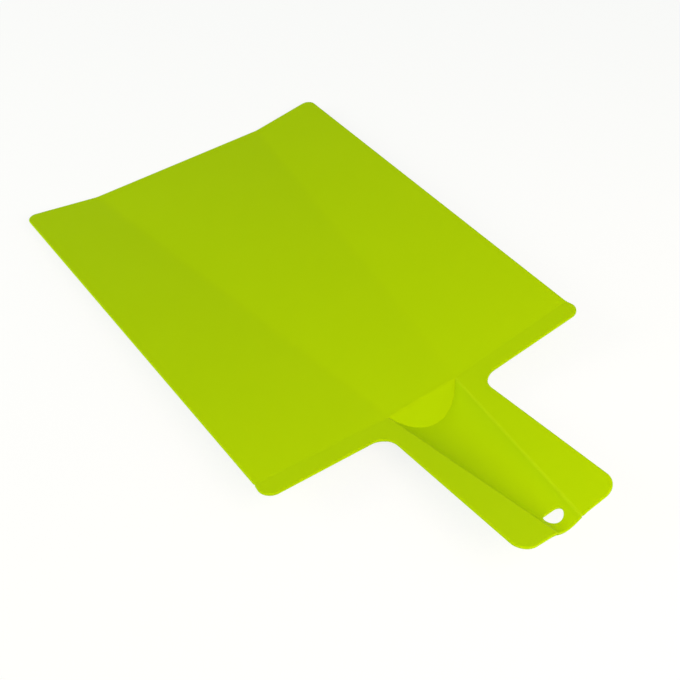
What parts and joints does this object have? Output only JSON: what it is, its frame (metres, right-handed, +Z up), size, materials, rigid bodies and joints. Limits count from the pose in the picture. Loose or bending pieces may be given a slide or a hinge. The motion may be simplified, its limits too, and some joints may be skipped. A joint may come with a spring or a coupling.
{
  "type": "folding cutting board",
  "caption": "Folding cutting board moulded in one piece, with living hinges and a squeeze handle that folds its sides up into a chute.",
  "frame": {"origin": "below the middle of the outline, on the counter that the board stands on", "axes": "+Y from the handle to the far edge, +X to the right of someone holding the handle and looking at the far edge, +Z up from the counter"},
  "size_m": [0.271, 0.478, 0.0401],
  "materials": {
    "lime_polypropylene": "satin, fine moulded texture"
  },
  "bodies": {
    "board_centre": {"board_centre_panel": "lime_polypropylene", "left_board_hinge": "lime_polypropylene", "right_board_hinge": "lime_polypropylene", "neck_hinge": "lime_polypropylene"},
    "left_wing": {"left_board_wing": "lime_polypropylene", "left_lip_hinge": "lime_polypropylene"},
    "right_wing": {"right_board_wing": "lime_polypropylene", "right_lip_hinge": "lime_polypropylene"},
    "left_lip": {"left_near_lip": "lime_polypropylene"},
    "right_lip": {"right_near_lip": "lime_polypropylene"},
    "handle_spine": {"neck_facet": "lime_polypropylene", "handle_trough": "lime_polypropylene", "left_handle_hinge": "lime_polypropylene", "right_handle_hinge": "lime_polypropylene"},
    "left_handle_wing": {"left_handle_wing": "lime_polypropylene"},
    "right_handle_wing": {"right_handle_wing": "lime_polypropylene"}
  },
  "joints": [
    {"name": "left_wing_fold", "type": "hinge", "parent": "board_centre", "child": "left_wing", "pos_m": [-0.0287, -0.09776, 0.01303], "axis": [-0.1421, 0.9893, -0.0334], "range_deg": [-3, 75], "stiffness_Nm_per_rad": 1},
    {"name": "right_wing_fold", "type": "hinge", "parent": "board_centre", "child": "right_wing", "pos_m": [0.0287, -0.09776, 0.01303], "axis": [-0.1421, -0.9893, 0.0334], "range_deg": [-3.05, 75.05], "stiffness_Nm_per_rad": 1},
    {"name": "left_lip_flex", "type": "hinge", "parent": "left_wing", "child": "left_lip", "pos_m": [-0.0287, -0.09776, 0.01303], "axis": [0.992, 0.0004, -0.126], "range_deg": [-0.29, 6.01], "stiffness_Nm_per_rad": 0.35},
    {"name": "right_lip_flex", "type": "hinge", "parent": "right_wing", "child": "right_lip", "pos_m": [0.0287, -0.09776, 0.01303], "axis": [0.992, -0.0004, 0.126], "range_deg": [-0.29, 6.01], "stiffness_Nm_per_rad": 0.35},
    {"name": "handle_pitch", "type": "hinge", "parent": "board_centre", "child": "handle_spine", "pos_m": [0, -0.09776, 0.01303], "axis": [1, 0, 0], "range_deg": [-0.23, 4.57], "stiffness_Nm_per_rad": 0.3},
    {"name": "left_handle_fold", "type": "hinge", "parent": "handle_spine", "child": "left_handle_wing", "pos_m": [-0.0287, -0.09776, 0.01303], "axis": [-0.1337, 0.9822, -0.1321], "range_deg": [-3.04, 74.9], "stiffness_Nm_per_rad": 0.4},
    {"name": "right_handle_fold", "type": "hinge", "parent": "handle_spine", "child": "right_handle_wing", "pos_m": [0.0287, -0.09776, 0.01303], "axis": [-0.1337, -0.9822, 0.1321], "range_deg": [-3.04, 74.9], "stiffness_Nm_per_rad": 0.4}
  ],
  "couplings": [
    {"joint": "right_wing_fold", "follows": "left_wing_fold", "ratio": 1},
    {"joint": "left_lip_flex", "follows": "left_wing_fold", "ratio": 0.0795},
    {"joint": "right_lip_flex", "follows": "left_wing_fold", "ratio": 0.0795},
    {"joint": "handle_pitch", "follows": "left_wing_fold", "ratio": 0.0603},
    {"joint": "left_handle_fold", "follows": "left_wing_fold", "ratio": 0.998},
    {"joint": "right_handle_fold", "follows": "left_wing_fold", "ratio": 0.998}
  ]
}
